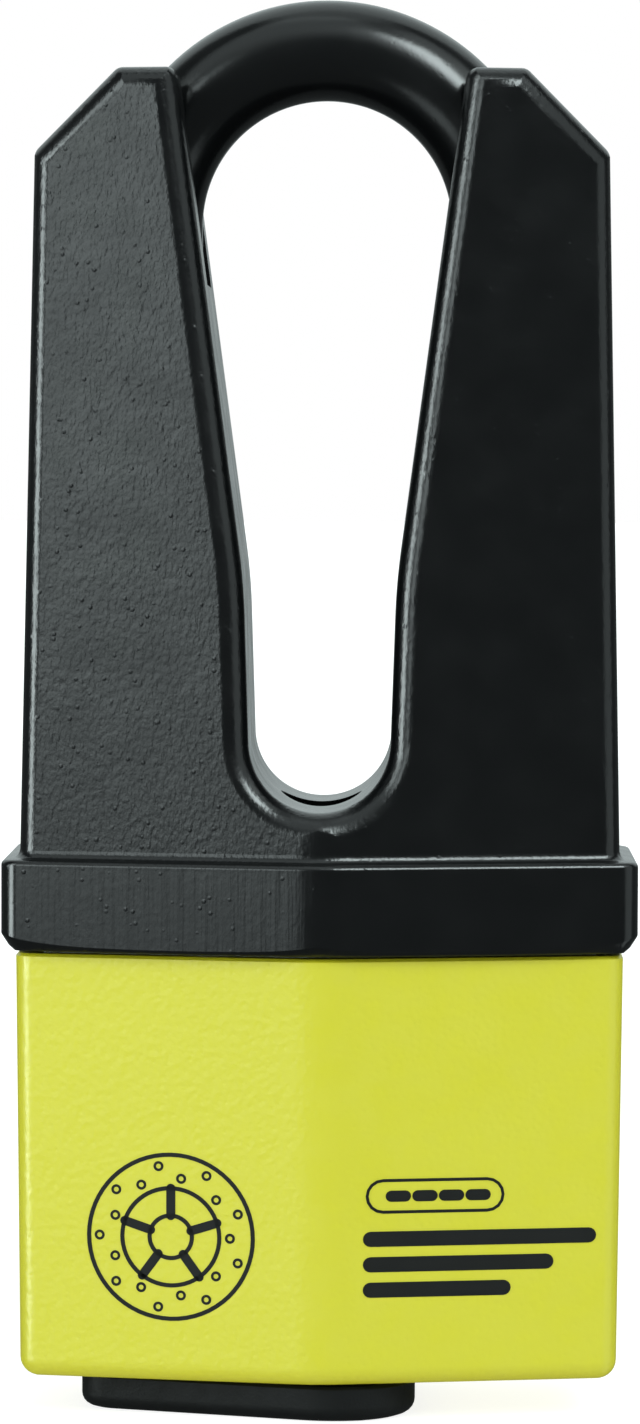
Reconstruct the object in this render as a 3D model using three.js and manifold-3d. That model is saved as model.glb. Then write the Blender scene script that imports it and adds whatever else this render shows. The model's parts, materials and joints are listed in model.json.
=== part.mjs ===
// Disc brake lock: a long forked casting whose arms guard a removable round shackle, with a
// disc cylinder lock in the body below.
// Millimetres, +Z up. X is the width, the front ridge faces -Y, and the origin is under the
// middle of the body, on the bottom face of the keyhole cover.
import * as THREE from 'three';
import { mergeVertices } from 'three/addons/utils/BufferGeometryUtils.js';
import Module from 'manifold-3d';

const wasm = await Module();
wasm.setup();

// ---------------------------------------------------------------- driving dimensions
const gap = 0.3;                    // clearance between neighbouring pieces
const ridgeSlope = 0.193;           // how fast the front and back facets fall away from the ridge
const bodyRidgeRadius = 12.0;       // rounding of the ridge
const bodyCornerRadius = 2.1;       // and of the four upright corners
const floorZ = 3.9;                 // underside of the housing cover
const collarZ = 46.15;              // underside of the collar
const ledgeZ = 55.1;                // top of the collar
const throatZ = 60.0;               // floor of the throat
const armTopZ = 132.7;              // flat tops of the arms
const shoulderZ = 124.5;            // where the outer shoulders of the arms start
const shoulderX = 28.17;            // and their half width there
const armTopFlatX = 19.97;          // half width where the shoulders meet the flat tops
const throatHeight = 70.0;          // clear height from the throat floor to the bow

const collarSize = { width: 31.3, depth: 18.6 };      // half sizes, to the side flat and to the ridge
const armBaseSize = { width: 29.52, depth: 17.2 };
const armTopSize = { width: 28.02, depth: 16.6 };
const coverTopSize = { width: 29.9, depth: 17.25 };
const coverBottomSize = { width: 29.45, depth: 16.95 };
const coverWall = 1.8;

const barRadius = 5.0;              // round shackle bar
const legSpacing = 34.8;            // between the two leg axes
const legX = legSpacing / 2;
const legPlay = 0.4;                // the loose shackle rests this far to one side in its bores
const boreRadius = 5.7;
const channelDepth = 6.0;           // how far the open channels for the bow reach below its centre
const sealSeatRadius = 7.6;
const sealSeatDepth = 3.2;
const legEndZ = 32.0;
const springZ = 23.6;               // middle of the lowest turn of the springs under the legs
const bowZ = throatZ + throatHeight + barRadius - legX;

const throatRadius = 6.95;          // round floor of the throat
const throatKinkZ = 82.4;
const throatLowerSlope = 0.0325;    // half width gained per millimetre of height, below the kink
const throatUpperSlope = 0.1335;    // and above it
const throatFillet = 2.7;           // rounded edges at the front and back of the throat
const armEdgeFillet = 2.2;          // and along the tops and shoulders of the arms
const drainRadius = 4.05;           // round blind recess in the throat floor
const drainDepth = 3.0;

const slideZ = 38.0;                // underside of the locking slide
const slideThickness = 4.0;
const slideTravel = 3.2;
const notchDepth = 2.5;
const slideClearance = 0.4;         // between the slide and the notches and pocket it moves in
const camThrow = slideTravel / Math.SQRT2;   // the cam's pin swings from 45 degrees before to 45 after
const camReach = slideTravel / 2;
const slideLeftX = -25.2;
const slideRightX = 11.5;
const slideHalfWidth = 7.2;

const plugRadius = 5.3;
const cylinderPinRadius = 1.2;
const keySlotSize = { width: 2.4, depth: 6.2 };
const cylinderRadius = 8.6;
const cylinderZ = 12.2;
const cylinderTopZ = 34.0;
const discCount = 7;
const discThickness = 1.6;
const spacerThickness = 0.6;

const coverPivotX = -19.0;          // pin of the swivelling keyhole cover
const pivotRadius = 1.6;
const pivotHeadSeat = { radius: 3.2, depth: 1.7 };
const washerSeat = { radius: 4.6, depth: 1.1 };
const keyCoverHeight = 3.55;
const screwX = 10.5;
const screwY = 10.3;
const screwRadius = 2.0;
const screwHeadRadius = 2.5;
const screwHeadHeight = 2.1;

// ---------------------------------------------------------------- solids
function toSolid(geometry) {
  const bare = geometry.clone();
  bare.deleteAttribute('normal');
  bare.deleteAttribute('uv');
  const merged = mergeVertices(bare, 1e-4);
  return new wasm.Manifold(new wasm.Mesh({
    numProp: 3,
    vertProperties: new Float32Array(merged.attributes.position.array),
    triVerts: new Uint32Array(merged.index.array),
  }));
}

function toGeometry(solid) {
  const mesh = solid.getMesh();
  const geometry = new THREE.BufferGeometry();
  geometry.setAttribute('position', new THREE.BufferAttribute(new Float32Array(mesh.vertProperties), 3));
  geometry.setIndex(new THREE.BufferAttribute(new Uint32Array(mesh.triVerts), 1));
  geometry.computeVertexNormals();
  return geometry;
}

function join(...geometries) {
  return toGeometry(geometries.map(toSolid).reduce((whole, next) => whole.add(next)));
}

function cut(base, ...tools) {
  return toGeometry(tools.map(toSolid).reduce((whole, tool) => whole.subtract(tool), toSolid(base)));
}

function overlap(a, b) {
  return toGeometry(toSolid(a).intersect(toSolid(b)));
}

// A closed skin through rings of points. Every ring has the same number of points and is seen
// whole from its middle, so the two ends are closed by fans.
function loft(rings) {
  const count = rings[0].length;
  const points = rings.flat();
  const index = [];
  for (let ring = 0; ring < rings.length - 1; ring += 1) {
    for (let i = 0; i < count; i += 1) {
      const a = ring * count + i;
      const b = ring * count + (i + 1) % count;
      index.push(a, b, b + count, a, b + count, a + count);
    }
  }
  for (const [start, flip] of [[0, true], [(rings.length - 1) * count, false]]) {
    const middle = new THREE.Vector3();
    for (let i = 0; i < count; i += 1) middle.addScaledVector(points[start + i], 1 / count);
    const centre = points.push(middle) - 1;
    for (let i = 0; i < count; i += 1) {
      const a = start + i;
      const b = start + (i + 1) % count;
      index.push(...(flip ? [centre, b, a] : [centre, a, b]));
    }
  }
  const geometry = new THREE.BufferGeometry().setFromPoints(points);
  geometry.setIndex(index);
  return signedVolume(geometry) > 0 ? geometry : flipped(geometry);
}

function signedVolume(geometry) {
  const { index, attributes } = geometry;
  const corner = [new THREE.Vector3(), new THREE.Vector3(), new THREE.Vector3()];
  let volume = 0;
  for (let i = 0; i < index.count; i += 3) {
    corner.forEach((point, k) => point.fromBufferAttribute(attributes.position, index.getX(i + k)));
    volume += corner[0].dot(corner[1].clone().cross(corner[2])) / 6;
  }
  return volume;
}

function flipped(geometry) {
  const index = [];
  for (let i = 0; i < geometry.index.count; i += 3) {
    index.push(geometry.index.getX(i), geometry.index.getX(i + 2), geometry.index.getX(i + 1));
  }
  geometry.setIndex(index);
  return geometry;
}

// ---------------------------------------------------------------- shapes
function rod(radius, z0, z1, x = 0, y = 0, sides = 32) {
  const geometry = new THREE.CylinderGeometry(radius, radius, z1 - z0, sides);
  geometry.rotateX(Math.PI / 2);
  return geometry.translate(x, y, (z0 + z1) / 2);
}

function cone(radius0, radius1, z0, z1, x = 0, y = 0, sides = 32) {
  const geometry = new THREE.CylinderGeometry(radius1, radius0, z1 - z0, sides);
  geometry.rotateX(Math.PI / 2);
  return geometry.translate(x, y, (z0 + z1) / 2);
}

function block(x0, x1, y0, y1, z0, z1) {
  const geometry = new THREE.BoxGeometry(x1 - x0, y1 - y0, z1 - z0);
  return geometry.translate((x0 + x1) / 2, (y0 + y1) / 2, (z0 + z1) / 2);
}

// A ring turned about the Z axis, from a closed section of [radius, height] pairs.
function turned(section, x, y, sides = 32) {
  const profile = [...section, section[0]].map(([radius, height]) => new THREE.Vector2(radius, height));
  const geometry = new THREE.LatheGeometry(profile, sides);
  geometry.rotateX(Math.PI / 2);
  return geometry.translate(x, y, 0);
}

// A polygon with a radius at each corner, as an evenly stepped outline.
function roundedOutline(corners, steps) {
  const outline = [];
  const count = corners.length;
  corners.forEach(([x, y, radius], i) => {
    const here = new THREE.Vector2(x, y);
    const before = new THREE.Vector2(...corners[(i + count - 1) % count]).sub(here).normalize();
    const after = new THREE.Vector2(...corners[(i + 1) % count]).sub(here).normalize();
    const half = Math.acos(THREE.MathUtils.clamp(before.dot(after), -1, 1)) / 2;
    const reach = radius / Math.tan(half);
    const centre = before.clone().add(after).normalize().multiplyScalar(radius / Math.sin(half)).add(here);
    const from = here.clone().addScaledVector(before, reach).sub(centre);
    const to = here.clone().addScaledVector(after, reach).sub(centre);
    const turn = Math.atan2(from.cross(to), from.dot(to));
    for (let step = 0; step <= steps; step += 1) {
      outline.push(from.clone().rotateAround(new THREE.Vector2(), turn * step / steps).add(centre));
    }
  });
  return outline;
}

// The body's section: a flattened hexagon with a ridge at the front and back and flat sides.
function bodyRing(size, z, inset = 0) {
  const width = size.width - inset;
  const depth = size.depth - inset;
  const flat = depth - ridgeSlope * width;
  const corner = Math.max(bodyCornerRadius - inset, 0.4);
  const outline = roundedOutline([
    [0, -depth, bodyRidgeRadius], [width, -flat, corner], [width, flat, corner],
    [0, depth, bodyRidgeRadius], [-width, flat, corner], [-width, -flat, corner],
  ], 4);
  return outline.map((point) => new THREE.Vector3(point.x, point.y, z));
}

// ---------------------------------------------------------------- fork casting
function throatHalfWidth(z) {
  const kink = throatRadius + throatLowerSlope * (throatKinkZ - throatZ - throatRadius);
  return z > throatKinkZ
    ? kink + throatUpperSlope * (z - throatKinkZ)
    : kink - throatLowerSlope * (throatKinkZ - z);
}

// The throat's outline, grown outwards by the given offset.
function throatOutline(offset) {
  const topZ = armTopZ + 12;
  const topX = throatHalfWidth(topZ) + offset;
  const kinkX = throatHalfWidth(throatKinkZ) + offset;
  const centreZ = throatZ + throatRadius;
  const radius = throatRadius + offset;
  const steps = 16;
  const floor = Array.from({ length: steps + 1 }, (_, i) => {
    const angle = -Math.PI * i / steps;
    return [radius * Math.cos(angle), centreZ + radius * Math.sin(angle)];
  });
  return [[topX, topZ], [kinkX, throatKinkZ], ...floor, [-kinkX, throatKinkZ], [-topX, topZ]];
}

// The front view of the flat tops and sloping shoulders of the arms, inset by the given offset.
// Its sides stand clear of the arms, and it has a point at the ridge.
function armOutline(offset) {
  const fall = (armTopZ - shoulderZ) / (shoulderX - armTopFlatX);
  const drop = offset * Math.hypot(1, fall);
  const topX = armTopFlatX - (drop - offset) / fall;
  const topZ = armTopZ - offset;
  const sideX = shoulderX + 3;
  const sideZ = shoulderZ - fall * (sideX - shoulderX) - drop;
  const footZ = ledgeZ - 2;
  return [
    [sideX, footZ], [sideX, sideZ], [topX, topZ],
    [0, topZ],
    [-topX, topZ], [-sideX, sideZ], [-sideX, footZ],
  ];
}

function armSize(z) {
  const t = (z - ledgeZ) / (armTopZ - ledgeZ);
  return {
    width: THREE.MathUtils.lerp(armBaseSize.width, armTopSize.width, t),
    depth: THREE.MathUtils.lerp(armBaseSize.depth, armTopSize.depth, t),
  };
}

function armHalfDepth(x, z) {
  return armSize(z).depth - ridgeSlope * Math.abs(x);
}

// A solid through the arms from back to front. Its outline takes an offset, which rises to the
// fillet's radius where the solid meets the front and back facets and rounds the edges there.
function flaredLoft(outlineAt, fillet, steps) {
  const ringAt = (offset, depthAt) => outlineAt(offset)
    .map(([x, z]) => new THREE.Vector3(x, depthAt(x, z), z));
  const flare = (side) => {
    const list = [];
    for (let i = 0; i <= steps; i += 1) {
      const angle = Math.PI / 2 * i / steps;
      const offset = fillet * (1 - Math.cos(angle));
      const below = fillet * (1 - Math.sin(angle)) - 0.02;
      list.push(ringAt(offset, (x, z) => side * (armHalfDepth(x, z) - below)));
    }
    list.push(ringAt(fillet, () => side * 24));
    return list;
  };
  return loft([...flare(-1).reverse(), ...flare(1)]);
}

function forkCasting() {
  const collar = loft([
    bodyRing(collarSize, collarZ, 0.9), bodyRing(collarSize, collarZ + 0.3, 0.3),
    bodyRing(collarSize, collarZ + 0.9), bodyRing(collarSize, ledgeZ - 0.5),
    bodyRing(collarSize, ledgeZ - 0.1, 0.3), bodyRing(collarSize, ledgeZ + 0.3, 1.3),
    bodyRing(armBaseSize, ledgeZ + 0.75),
  ]);
  const upright = loft([ledgeZ - 1, armTopZ + 1].map((z) => bodyRing(armSize(z), z)));
  const arms = overlap(upright, flaredLoft(armOutline, armEdgeFillet, 4));
  const drain = rod(drainRadius, throatZ - drainDepth, throatZ + throatRadius, 0, 0, 40);
  const tools = [flaredLoft(throatOutline, throatFillet, 5), drain];
  for (const side of [-1, 1]) {
    tools.push(rod(boreRadius, collarZ - 1, armTopZ + 5, side * legX));
    const inner = Math.min(0, side * legX);
    tools.push(block(inner, inner + legX, -boreRadius, boreRadius, bowZ - channelDepth, armTopZ + 5));
    tools.push(rod(sealSeatRadius, collarZ - 1, collarZ + sealSeatDepth, side * legX));
    for (const y of [-screwY, screwY]) {
      tools.push(rod(screwRadius + gap, collarZ - 1, ledgeZ - 0.6, side * screwX, y, 14));
    }
  }
  return cut(join(collar, arms), ...tools);
}

// ---------------------------------------------------------------- shackle
function circleRing(centre, across, up, radius, sides = 20) {
  return Array.from({ length: sides }, (_, i) => {
    const angle = 2 * Math.PI * i / sides;
    return centre.clone()
      .addScaledVector(across, radius * Math.cos(angle))
      .addScaledVector(up, radius * Math.sin(angle));
  });
}

function shackleBow() {
  const depth = new THREE.Vector3(0, 1, 0);
  const width = new THREE.Vector3(1, 0, 0);
  const rings = [];
  for (const [z, radius] of [[legEndZ, barRadius - 1.2], [legEndZ + 1.2, barRadius]]) {
    rings.push(circleRing(new THREE.Vector3(legX, 0, z), width, depth, radius));
  }
  const steps = 24;
  for (let i = 0; i <= steps; i += 1) {
    const angle = Math.PI * i / steps;
    const outward = new THREE.Vector3(Math.cos(angle), 0, Math.sin(angle));
    const centre = outward.clone().multiplyScalar(legX).setZ(bowZ + legX * Math.sin(angle));
    rings.push(circleRing(centre, outward, depth, barRadius));
  }
  for (const [z, radius] of [[legEndZ + 1.2, barRadius], [legEndZ, barRadius - 1.2]]) {
    rings.push(circleRing(new THREE.Vector3(-legX, 0, z), width.clone().negate(), depth, radius));
  }
  const notches = [-1, 1].map((side) => block(
    side * legX - barRadius - 1, side * legX - barRadius + notchDepth,
    -barRadius - 1, barRadius + 1, slideZ - slideClearance, slideZ + slideThickness + slideClearance,
  ));
  return cut(loft(rings), ...notches).translate(legPlay, 0, 0);
}

// ---------------------------------------------------------------- housing and core
const coverFloorTopZ = floorZ + coverWall;
const basePlateZ = coverFloorTopZ + gap;
const basePlateThickness = 3.0;
const coreZ = basePlateZ + basePlateThickness + gap;
const coreSplitZ = slideZ + slideThickness + gap;
const coreTopZ = collarZ - gap;
const drillPlateZ = coreZ + gap;
const keywayRadius = 4.8;

function housingCover() {
  const topZ = collarZ - gap;
  const outside = loft([
    bodyRing(coverBottomSize, floorZ, 1.6), bodyRing(coverBottomSize, floorZ + 0.25, 0.75),
    bodyRing(coverBottomSize, floorZ + 0.8, 0.2), bodyRing(coverBottomSize, floorZ + 1.6),
    bodyRing(coverTopSize, topZ),
  ]);
  const inside = loft([
    bodyRing(coverBottomSize, coverFloorTopZ, coverWall), bodyRing(coverTopSize, topZ + 1, coverWall),
  ]);
  const keyway = rod(keywayRadius + 0.6, floorZ - 1, coverFloorTopZ + 1);
  const pivotHole = rod(pivotRadius + gap, floorZ - 1, coverFloorTopZ + 1, coverPivotX, 0, 20);
  return cut(outside, inside, keyway, pivotHole);
}

// A solid block that fills the housing cover's section with a clearance all round.
function coreBlock(z0, z1) {
  const inset = coverWall + 1.3 * gap;
  return loft([bodyRing(coverBottomSize, z0, inset), bodyRing(coverBottomSize, z1, inset)]);
}

function screwHoles(z0, z1, radius = screwRadius + gap) {
  const holes = [];
  for (const x of [-screwX, screwX]) {
    for (const y of [-screwY, screwY]) holes.push(rod(radius, z0, z1, x, y, 14));
  }
  return holes;
}

function legBores(z0, z1) {
  return [-legX, legX].map((x) => rod(boreRadius, z0, z1, x));
}

function coreUpper() {
  return cut(coreBlock(coreSplitZ, coreTopZ), ...legBores(coreSplitZ - 1, coreTopZ + 1),
    ...screwHoles(coreSplitZ - 1, coreTopZ + 1));
}

function coreLower() {
  const top = coreSplitZ - gap;
  const pocketHalfWidth = slideHalfWidth + gap;
  const pocket = block(slideLeftX - slideClearance, slideRightX + slideTravel + slideClearance,
    -pocketHalfWidth, pocketHalfWidth, slideZ - gap, top + 1);
  const springSeats = [-legX, legX].map((x) => rod(4.6, springZ - 0.9, legEndZ, x));
  return cut(coreBlock(coreZ, top), pocket, ...legBores(legEndZ - 0.6, top + 1), ...springSeats,
    ...screwHoles(coreZ - 1, top + 1), rod(cylinderRadius + gap, coreZ - 1, top + 1),
    pinAlongY(cylinderPinRadius + gap, -20, -cylinderRadius),
    rod(pivotRadius + gap, coreZ - 1, coreZ + 4, coverPivotX, 0, 20));
}

function basePlate() {
  const heads = screwHoles(basePlateZ - 1, basePlateZ + screwHeadHeight + 0.2, screwHeadRadius + gap);
  return cut(coreBlock(basePlateZ, basePlateZ + basePlateThickness), ...heads,
    ...screwHoles(basePlateZ, basePlateZ + 5), rod(keywayRadius, basePlateZ - 1, basePlateZ + 5),
    rod(pivotRadius + gap, basePlateZ - 1, basePlateZ + 5, coverPivotX, 0, 20));
}

function caseScrew(x, y) {
  const socket = new THREE.CylinderGeometry(1.45, 1.45, 2.4, 6);
  socket.rotateX(Math.PI / 2);
  socket.translate(x, y, basePlateZ + 0.6);
  const headTopZ = basePlateZ + screwHeadHeight;
  return cut(join(rod(screwHeadRadius, basePlateZ + 0.2, headTopZ, x, y, 14),
    rod(screwRadius, headTopZ - 0.1, ledgeZ - 2.0, x, y, 14)), socket);
}

// ---------------------------------------------------------------- lock cylinder
function pinAlongY(radius, y0, y1, z = 20, sides = 16) {
  const geometry = new THREE.CylinderGeometry(radius, radius, y1 - y0, sides);
  return geometry.translate(0, (y0 + y1) / 2, z);
}

const discStackZ = cylinderZ + 1.6;
const discPitch = discThickness + spacerThickness + 2 * gap;
const plugTopZ = discStackZ + discCount * discPitch + 1.3;
const sideBarY = plugRadius - 0.75;

function keySlot(z0, z1) {
  const { width, depth } = keySlotSize;
  return block(-width / 2, width / 2, -depth / 2, depth / 2, z0, z1);
}

function antiDrillPlate() {
  const plate = rod(cylinderRadius - 0.1, drillPlateZ, drillPlateZ + 1.6);
  return cut(plate, keySlot(drillPlateZ - 1, drillPlateZ + 3));
}

function cylinderHousing() {
  const plugBore = rod(plugRadius + gap, cylinderZ - 1, cylinderTopZ + 1);
  const sideBarGroove = rod(1.3, cylinderZ + 2, cylinderTopZ + 1, 0, plugRadius, 16);
  const pinHole = pinAlongY(cylinderPinRadius + gap, -12, -7.0);
  return cut(rod(cylinderRadius, cylinderZ, cylinderTopZ), plugBore, sideBarGroove, pinHole);
}

function cylinderPlug() {
  const bore = rod(4.2, discStackZ - gap, discStackZ + discCount * discPitch);
  const barSlot = block(-0.9, 0.9, 2, plugRadius + 1, discStackZ, discStackZ + discCount * discPitch - 1);
  const driveSlot = block(-4, 4, -1.3, 1.3, plugTopZ - 1.0, plugTopZ + 1);
  return cut(rod(plugRadius, cylinderZ, plugTopZ), bore, barSlot, driveSlot,
    keySlot(cylinderZ - 1, discStackZ + 1));
}

function detainerDisc(i) {
  const z = discStackZ + i * discPitch;
  const gate = block(-0.8, 0.8, 3.0, 5.0, z - 1, z + 3);
  const slot = block(-keySlotSize.width / 2, keySlotSize.width / 2, -2.6, 2.6, z - 1, z + 3);
  const turn = [0, 18, 36, 9, 27, 45, 0][i] * Math.PI / 180;
  gate.rotateZ(-turn);
  return cut(rod(3.9, z, z + discThickness, 0, 0, 24), gate, slot);
}

function discSpacer(i) {
  const z = discStackZ + i * discPitch + discThickness + gap;
  return turned([[2.9, z], [3.9, z], [3.9, z + spacerThickness], [2.9, z + spacerThickness]], 0, 0, 20);
}

function sideBar() {
  return rod(0.6, discStackZ + 0.4, discStackZ + discCount * discPitch - 1.4, 0, sideBarY + 0.25, 12);
}

function driveCam() {
  const discZ = plugTopZ + gap;
  const tang = block(-3.6, 3.6, -1.0, 1.0, discZ - 0.9, discZ + 0.5);
  return join(rod(cylinderRadius - 1.0, discZ, slideZ - 2 * gap, 0, 0, 28), tang,
    rod(1.4, slideZ - 1.0, slideZ + slideThickness - 0.4, -camReach, -camReach, 16));
}

// ---------------------------------------------------------------- locking slide
// The slide's window round the left leg and its plain right end enter the notches of the two legs.
function lockingSlide() {
  const top = slideZ + slideThickness;
  const windowX = boreRadius - legX;
  const plate = block(slideLeftX, slideRightX, -slideHalfWidth, slideHalfWidth, slideZ, top);
  const windowDepth = barRadius + slideClearance;
  const window = block(windowX - 2 * boreRadius, windowX, -windowDepth, windowDepth, slideZ - 1, top + 1);
  const camSlot = block(
    -camReach - 1.8, -camReach + 1.8, -camThrow - 2.0, 2.0 - camReach, slideZ - 1, top + 1,
  );
  return cut(plate, window, camSlot);
}

// ---------------------------------------------------------------- springs and seals
class Helix extends THREE.Curve {
  constructor(radius, height, turns) {
    super();
    Object.assign(this, { radius, height, turns });
  }

  getPoint(t, target = new THREE.Vector3()) {
    const angle = 2 * Math.PI * this.turns * t;
    return target.set(this.radius * Math.cos(angle), this.radius * Math.sin(angle), this.height * t);
  }
}

function legSpring(x) {
  const wire = 0.5;
  const turns = 4;
  const height = legEndZ - springZ - wire - 0.4;
  const section = new THREE.Shape(Array.from({ length: 6 }, (_, i) => (
    new THREE.Vector2(wire, 0).rotateAround(new THREE.Vector2(), Math.PI / 3 * i)
  )));
  const geometry = new THREE.ExtrudeGeometry(section, {
    steps: turns * 12, extrudePath: new Helix(3.6, height, turns), bevelEnabled: false,
  });
  return geometry.translate(x, 0, springZ);
}

function legSeal(side) {
  const x = side * legX + legPlay;
  const corners = 8;
  const section = Array.from({ length: corners }, (_, i) => {
    const angle = 2 * Math.PI * i / corners;
    return [barRadius + 1.15 + 0.85 * Math.cos(angle), collarZ + 1.7 + 1.1 * Math.sin(angle)];
  });
  return turned(section, x, 0, 24);
}

// ---------------------------------------------------------------- swivelling keyhole cover
function keyCoverRing(z, inset) {
  const outline = roundedOutline([
    [-23.6 + inset, -7.0 + inset, 3.2], [1.6, -15.0 + inset, 9.0], [9.6 - inset, -12.4 + inset, 7.0],
    [9.6 - inset, 12.4 - inset, 7.0], [1.6, 15.0 - inset, 9.0], [-23.6 + inset, 7.0 - inset, 3.2],
  ], 6);
  return outline.map((point) => new THREE.Vector3(point.x, point.y, z));
}

function keyholeCover() {
  const body = loft([
    keyCoverRing(0, 0.8), keyCoverRing(0.25, 0.3), keyCoverRing(0.8, 0), keyCoverRing(keyCoverHeight, 0),
  ]);
  return cut(body, rod(pivotRadius + gap, -1, keyCoverHeight + 1, coverPivotX, 0, 20),
    rod(pivotHeadSeat.radius, -1, pivotHeadSeat.depth, coverPivotX, 0, 28),
    rod(washerSeat.radius, keyCoverHeight - washerSeat.depth, keyCoverHeight + 1, coverPivotX, 0, 28));
}

function coverPivot() {
  const head = cone(2.5, 2.9, 0.35, 1.4, coverPivotX, 0, 28);
  const recess = block(coverPivotX - 2.2, coverPivotX + 2.2, -0.4, 0.4, 0, 0.8);
  return cut(join(head, rod(pivotRadius, 1.3, coreZ + 3.5, coverPivotX, 0, 20)), recess);
}

function coverWasher() {
  const z = keyCoverHeight - 0.8;
  return turned([[2.2, z + 0.15], [4.2, z], [4.2, z + 0.4], [2.2, z + 0.55]], coverPivotX, 0, 28);
}

// ---------------------------------------------------------------- assembly
const finishes = {
  blackPaint: { color: 0x1b1c1e, roughness: 0.3, metalness: 0.0 },
  yellowPlastic: { color: 0xd2dc46, roughness: 0.5, metalness: 0.0 },
  blackPlastic: { color: 0x202124, roughness: 0.6, metalness: 0.0 },
  hardenedSteel: { color: 0x8e9094, roughness: 0.35, metalness: 0.9 },
  brass: { color: 0xb08d4f, roughness: 0.35, metalness: 0.9 },
  springSteel: { color: 0xa9abae, roughness: 0.3, metalness: 0.95 },
  rubber: { color: 0x151515, roughness: 0.85, metalness: 0.0 },
};

const lock = new THREE.Group();

function add(name, geometry, finish) {
  const mesh = new THREE.Mesh(geometry, new THREE.MeshStandardMaterial(finishes[finish]));
  mesh.name = name;
  lock.add(mesh);
}

add('fork_casting', forkCasting(), 'blackPaint');
add('shackle_bow', shackleBow(), 'blackPaint');
add('housing_cover', housingCover(), 'yellowPlastic');
add('core_upper', coreUpper(), 'hardenedSteel');
add('core_lower', coreLower(), 'hardenedSteel');
add('base_plate', basePlate(), 'hardenedSteel');
add('anti_drill_plate', antiDrillPlate(), 'hardenedSteel');
add('cylinder_housing', cylinderHousing(), 'brass');
add('cylinder_pin', pinAlongY(cylinderPinRadius, -13.5, -7.3), 'springSteel');
add('cylinder_plug', cylinderPlug(), 'brass');
for (let i = 0; i < discCount; i += 1) add(`detainer_disc_${i + 1}`, detainerDisc(i), 'brass');
for (let i = 0; i < discCount - 1; i += 1) add(`disc_spacer_${i + 1}`, discSpacer(i), 'springSteel');
add('side_bar', sideBar(), 'hardenedSteel');
add('drive_cam', driveCam(), 'hardenedSteel');
add('locking_slide', lockingSlide(), 'hardenedSteel');
for (const [side, name] of [[-1, 'left'], [1, 'right']]) {
  add(`leg_spring_${name}`, legSpring(side * legX), 'springSteel');
  add(`leg_seal_${name}`, legSeal(side), 'rubber');
}
let screwNumber = 0;
for (const x of [-screwX, screwX]) {
  for (const y of [-screwY, screwY]) {
    screwNumber += 1;
    add(`case_screw_${screwNumber}`, caseScrew(x, y), 'hardenedSteel');
  }
}
add('keyhole_cover', keyholeCover(), 'blackPlastic');
add('cover_pivot', coverPivot(), 'hardenedSteel');
add('cover_washer', coverWasher(), 'springSteel');

export default lock;
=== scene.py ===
"""Disc brake lock: the finished look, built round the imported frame.

Lengths are in millimetres in the frame's axes, and become metres when a mesh is made. +Z is up,
X is the width and the front ridge faces -Y.
"""

import json
import math

import bpy
import numpy as np
from mathutils import Matrix, Vector


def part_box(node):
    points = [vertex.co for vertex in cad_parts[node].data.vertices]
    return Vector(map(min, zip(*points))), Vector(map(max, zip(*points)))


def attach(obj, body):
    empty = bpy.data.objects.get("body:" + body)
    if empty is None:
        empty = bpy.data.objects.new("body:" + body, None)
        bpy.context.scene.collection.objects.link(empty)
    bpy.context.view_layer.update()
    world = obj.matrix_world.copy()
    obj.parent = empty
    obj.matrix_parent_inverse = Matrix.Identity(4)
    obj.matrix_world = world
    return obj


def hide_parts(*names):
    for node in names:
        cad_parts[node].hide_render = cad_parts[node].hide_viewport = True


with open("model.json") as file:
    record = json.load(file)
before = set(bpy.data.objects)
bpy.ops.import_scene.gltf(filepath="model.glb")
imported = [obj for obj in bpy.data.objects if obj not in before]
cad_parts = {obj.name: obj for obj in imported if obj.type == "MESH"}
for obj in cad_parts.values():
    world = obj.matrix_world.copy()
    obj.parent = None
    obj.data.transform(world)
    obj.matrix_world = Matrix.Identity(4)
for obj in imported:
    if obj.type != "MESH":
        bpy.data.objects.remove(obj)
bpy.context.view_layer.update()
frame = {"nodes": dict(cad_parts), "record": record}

MM = 0.001


def box_mm(node):
    """Lowest and highest corner of a CAD node, in millimetres."""
    low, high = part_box(node)
    return np.array(low) / MM, np.array(high) / MM


# ---------------------------------------------------------------- driving dimensions
FORK_LOW, FORK_HIGH = box_mm("fork_casting")
BOW_LOW, BOW_HIGH = box_mm("shackle_bow")
HOUSING_LOW, HOUSING_HIGH = box_mm("housing_cover")
KEY_COVER_LOW, KEY_COVER_HIGH = box_mm("keyhole_cover")
SLIDE_LOW, SLIDE_HIGH = box_mm("locking_slide")
PIVOT_LOW, PIVOT_HIGH = box_mm("cover_pivot")
SCREW_LOW, SCREW_HIGH = box_mm("case_screw_4")

RIDGE_SLOPE = 0.193  # how fast the front and back facets fall away from the ridge
RIDGE_RADIUS = 12.0
CORNER_RADIUS = 2.1

COLLAR_Z = FORK_LOW[2]
ARM_TOP_Z = FORK_HIGH[2]
COLLAR_HEIGHT = 8.95
THROAT_RISE = 13.85  # from the collar's underside to the throat's floor
SHOULDER_DROP = 8.2  # from the arm tops down to where the shoulders start
LEDGE_Z = COLLAR_Z + COLLAR_HEIGHT
THROAT_Z = COLLAR_Z + THROAT_RISE
SHOULDER_X = 28.17  # half width where the shoulders start
SHOULDER_Z = ARM_TOP_Z - SHOULDER_DROP
COLLAR = (FORK_HIGH[0], 18.6)  # half width to the side flat, half depth to the sharp ridge
ARM_BASE = (29.52, 17.2)
ARM_TOP = (28.02, 16.6)
ARM_TOP_FLAT = 19.97  # half width where the flat tops meet the shoulders
COVER_TOP = (29.9, 17.25)
COVER_BOTTOM = (29.45, 16.95)
COVER_WALL = 1.8

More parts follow.
